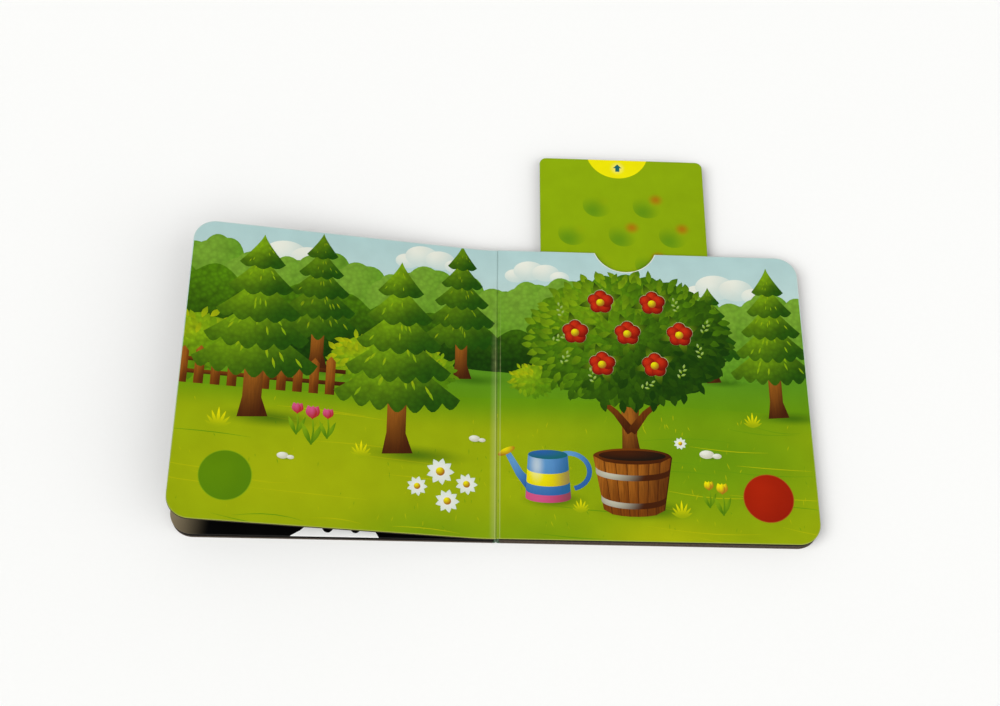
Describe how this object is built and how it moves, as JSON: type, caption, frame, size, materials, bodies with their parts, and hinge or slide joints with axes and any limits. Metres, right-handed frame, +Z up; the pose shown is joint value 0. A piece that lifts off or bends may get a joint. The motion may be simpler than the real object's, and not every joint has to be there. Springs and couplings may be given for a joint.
{
  "type": "pull-tab board book",
  "caption": "Square board book lying open, with a raised leaf on the left and, on the right, a pull card that slides in a pocket behind flower-shaped windows.",
  "frame": {"origin": "centre of the open book's box, on the table under it", "axes": "+X to the reader's right across both pages, +Y from the reader's near edge to the edge where the card pulls out, +Z up"},
  "size_m": [0.338, 0.2336, 0.0325],
  "materials": {
    "cover_wrap": "satin laminated board",
    "page_board": "cut grey board edge",
    "window_page_print": "satin laminated print",
    "pull_card_print": "satin laminated print",
    "raised_leaf_print": "satin laminated print"
  },
  "bodies": {
    "back_half": {"back_cover": "cover_wrap", "right_pages": "page_board", "pocket_spacer": "page_board", "window_page": "window_page_print"},
    "front_half": {"front_cover": "cover_wrap", "left_pages": "page_board", "raised_leaf": "raised_leaf_print"},
    "pull_card": {"pull_card": "pull_card_print"}
  },
  "joints": [
    {"name": "front_cover_hinge", "type": "hinge", "parent": "back_half", "child": "front_half", "pos_m": [-0.001, -0.03175, 0.0075], "axis": [0, 1, 0], "range_deg": [0, 171.2]},
    {"name": "pull_card_slide", "type": "slide", "parent": "back_half", "child": "pull_card", "axis": [0, 1, 0], "range_m": [-0.0635, 0]}
  ]
}
